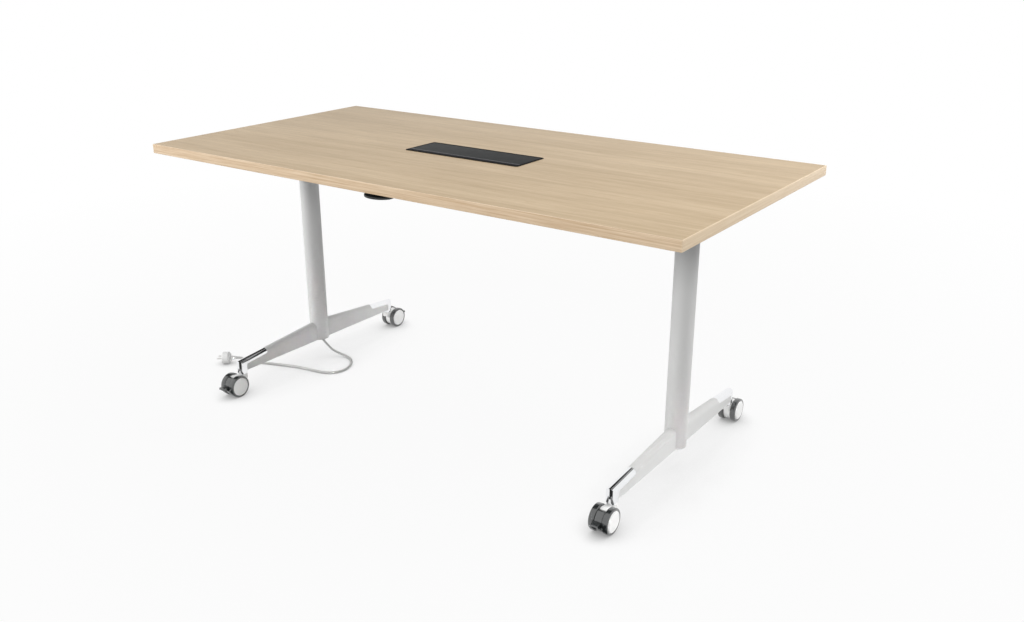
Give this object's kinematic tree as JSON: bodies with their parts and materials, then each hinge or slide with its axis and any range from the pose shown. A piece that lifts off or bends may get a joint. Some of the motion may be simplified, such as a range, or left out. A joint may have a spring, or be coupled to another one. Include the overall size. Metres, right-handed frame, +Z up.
{
  "type": "flip top training table",
  "caption": "Training table on castered T feet: an oak laminate top with a lidded power tray tips up on hinges once its paddle draws the lock bolts.",
  "frame": {"origin": "on the floor under the middle of the table top", "axes": "+X along the table top, +Y away from the user's edge, +Z up"},
  "size_m": [1.6607, 0.8, 0.7318],
  "materials": {
    "oak_laminate": "matt light oak laminate, grain along the table",
    "oak_edge": "matt light oak edge band",
    "grey_paint": "satin silver grey powder coat",
    "chrome": "polished",
    "steel": "zinc plated",
    "dark_plastic": "fine grained",
    "black_plastic": "matt",
    "grey_plastic": "matt",
    "white_plastic": "satin",
    "tyre_rubber": "matt",
    "pale_cord": "smooth sheath"
  },
  "bodies": {
    "base": {"column_left": "grey_paint", "column_head_left": "grey_paint", "hinge_pin_left": "steel", "column_plug_left": "grey_plastic", "column_right": "grey_paint", "column_head_right": "grey_paint", "hinge_pin_right": "steel", "column_plug_right": "grey_plastic", "cross_beam": "grey_paint", "foot_arm_front_left": "grey_paint", "toe_cap_front_left": "chrome", "foot_arm_rear_left": "grey_paint", "toe_cap_rear_left": "chrome", "foot_arm_front_right": "grey_paint", "toe_cap_front_right": "chrome", "foot_arm_rear_right": "grey_paint", "toe_cap_rear_right": "chrome", "power_cord": "pale_cord", "mains_plug": "white_plastic"},
    "top": {"tabletop_panel": "oak_laminate", "edge_band": "oak_edge", "power_tray": "dark_plastic", "socket_strip": "black_plastic", "handle_bracket": "black_plastic", "handle_pin": "steel", "hinge_bracket_left": "steel", "hinge_bracket_right": "steel", "release_cable_left": "black_plastic", "release_cable_right": "black_plastic", "module_lead": "pale_cord"},
    "power_lid": {"power_lid": "dark_plastic"},
    "release_handle": {"release_handle": "black_plastic"},
    "lock_bolt_left": {"lock_bolt_left": "steel"},
    "lock_bolt_right": {"lock_bolt_right": "steel"},
    "caster_front_left": {"caster_front_left_body": "white_plastic"},
    "caster_front_left_pedal": {"caster_front_left_brake_pedal": "dark_plastic"},
    "caster_front_left_wheel_inner": {"caster_front_left_wheel_inner": "tyre_rubber", "caster_front_left_hub_inner": "white_plastic"},
    "caster_front_left_wheel_outer": {"caster_front_left_wheel_outer": "tyre_rubber", "caster_front_left_hub_outer": "white_plastic"},
    "caster_rear_left": {"caster_rear_left_body": "white_plastic"},
    "caster_rear_left_pedal": {"caster_rear_left_brake_pedal": "dark_plastic"},
    "caster_rear_left_wheel_inner": {"caster_rear_left_wheel_inner": "tyre_rubber", "caster_rear_left_hub_inner": "white_plastic"},
    "caster_rear_left_wheel_outer": {"caster_rear_left_wheel_outer": "tyre_rubber", "caster_rear_left_hub_outer": "white_plastic"},
    "caster_front_right": {"caster_front_right_body": "white_plastic"},
    "caster_front_right_pedal": {"caster_front_right_brake_pedal": "dark_plastic"},
    "caster_front_right_wheel_inner": {"caster_front_right_wheel_inner": "tyre_rubber", "caster_front_right_hub_inner": "white_plastic"},
    "caster_front_right_wheel_outer": {"caster_front_right_wheel_outer": "tyre_rubber", "caster_front_right_hub_outer": "white_plastic"},
    "caster_rear_right": {"caster_rear_right_body": "white_plastic"},
    "caster_rear_right_pedal": {"caster_rear_right_brake_pedal": "dark_plastic"},
    "caster_rear_right_wheel_inner": {"caster_rear_right_wheel_inner": "tyre_rubber", "caster_rear_right_hub_inner": "white_plastic"},
    "caster_rear_right_wheel_outer": {"caster_rear_right_wheel_outer": "tyre_rubber", "caster_rear_right_hub_outer": "white_plastic"}
  },
  "joints": [
    {"name": "top_flip", "type": "hinge", "parent": "base", "child": "top", "pos_m": [0, 0, 0.668], "axis": [-1, 0, 0], "range_deg": [0, 90]},
    {"name": "lid_hinge", "type": "hinge", "parent": "top", "child": "power_lid", "pos_m": [0, 0.0535, 0.7298], "axis": [-1, 0, 0], "range_deg": [0, 95]},
    {"name": "release_lever", "type": "hinge", "parent": "top", "child": "release_handle", "pos_m": [0, -0.35, 0.694], "axis": [-1, 0, 0], "range_deg": [0, 9], "stiffness_Nm_per_rad": 1.5, "springref_deg": -11.46},
    {"name": "left_lock", "type": "slide", "parent": "top", "child": "lock_bolt_left", "axis": [1, 0, 0], "range_m": [0, 0.0044]},
    {"name": "right_lock", "type": "slide", "parent": "top", "child": "lock_bolt_right", "axis": [-1, 0, 0], "range_m": [0, 0.0044]},
    {"name": "swivel_front_left", "type": "hinge", "parent": "base", "child": "caster_front_left", "pos_m": [-0.624, -0.316, 0.06], "axis": [0, 0, 1], "continuous": true},
    {"name": "pedal_front_left", "type": "hinge", "parent": "caster_front_left", "child": "caster_front_left_pedal", "pos_m": [-0.624, -0.35524, 0.0529], "axis": [1, 0, 0], "range_deg": [0, 10]},
    {"name": "roll_front_left_inner", "type": "hinge", "parent": "caster_front_left", "child": "caster_front_left_wheel_inner", "pos_m": [-0.624, -0.347, 0.0325], "axis": [1, 0, 0], "continuous": true},
    {"name": "roll_front_left_outer", "type": "hinge", "parent": "caster_front_left", "child": "caster_front_left_wheel_outer", "pos_m": [-0.624, -0.347, 0.0325], "axis": [1, 0, 0], "continuous": true},
    {"name": "swivel_rear_left", "type": "hinge", "parent": "base", "child": "caster_rear_left", "pos_m": [-0.624, 0.316, 0.06], "axis": [0, 0, 1], "continuous": true},
    {"name": "pedal_rear_left", "type": "hinge", "parent": "caster_rear_left", "child": "caster_rear_left_pedal", "pos_m": [-0.624, 0.35524, 0.0529], "axis": [-1, 0, 0], "range_deg": [0, 10]},
    {"name": "roll_rear_left_inner", "type": "hinge", "parent": "caster_rear_left", "child": "caster_rear_left_wheel_inner", "pos_m": [-0.624, 0.347, 0.0325], "axis": [1, 0, 0], "continuous": true},
    {"name": "roll_rear_left_outer", "type": "hinge", "parent": "caster_rear_left", "child": "caster_rear_left_wheel_outer", "pos_m": [-0.624, 0.347, 0.0325], "axis": [1, 0, 0], "continuous": true},
    {"name": "swivel_front_right", "type": "hinge", "parent": "base", "child": "caster_front_right", "pos_m": [0.624, -0.316, 0.06], "axis": [0, 0, 1], "continuous": true},
    {"name": "pedal_front_right", "type": "hinge", "parent": "caster_front_right", "child": "caster_front_right_pedal", "pos_m": [0.624, -0.35524, 0.0529], "axis": [1, 0, 0], "range_deg": [0, 10]},
    {"name": "roll_front_right_inner", "type": "hinge", "parent": "caster_front_right", "child": "caster_front_right_wheel_inner", "pos_m": [0.624, -0.347, 0.0325], "axis": [1, 0, 0], "continuous": true},
    {"name": "roll_front_right_outer", "type": "hinge", "parent": "caster_front_right", "child": "caster_front_right_wheel_outer", "pos_m": [0.624, -0.347, 0.0325], "axis": [1, 0, 0], "continuous": true},
    {"name": "swivel_rear_right", "type": "hinge", "parent": "base", "child": "caster_rear_right", "pos_m": [0.624, 0.316, 0.06], "axis": [0, 0, 1], "continuous": true},
    {"name": "pedal_rear_right", "type": "hinge", "parent": "caster_rear_right", "child": "caster_rear_right_pedal", "pos_m": [0.624, 0.35524, 0.0529], "axis": [-1, 0, 0], "range_deg": [0, 10]},
    {"name": "roll_rear_right_inner", "type": "hinge", "parent": "caster_rear_right", "child": "caster_rear_right_wheel_inner", "pos_m": [0.624, 0.347, 0.0325], "axis": [1, 0, 0], "continuous": true},
    {"name": "roll_rear_right_outer", "type": "hinge", "parent": "caster_rear_right", "child": "caster_rear_right_wheel_outer", "pos_m": [0.624, 0.347, 0.0325], "axis": [1, 0, 0], "continuous": true}
  ],
  "couplings": [
    {"joint": "left_lock", "follows": "release_lever", "m_per_rad": 0.028},
    {"joint": "right_lock", "follows": "release_lever", "m_per_rad": 0.028}
  ]
}
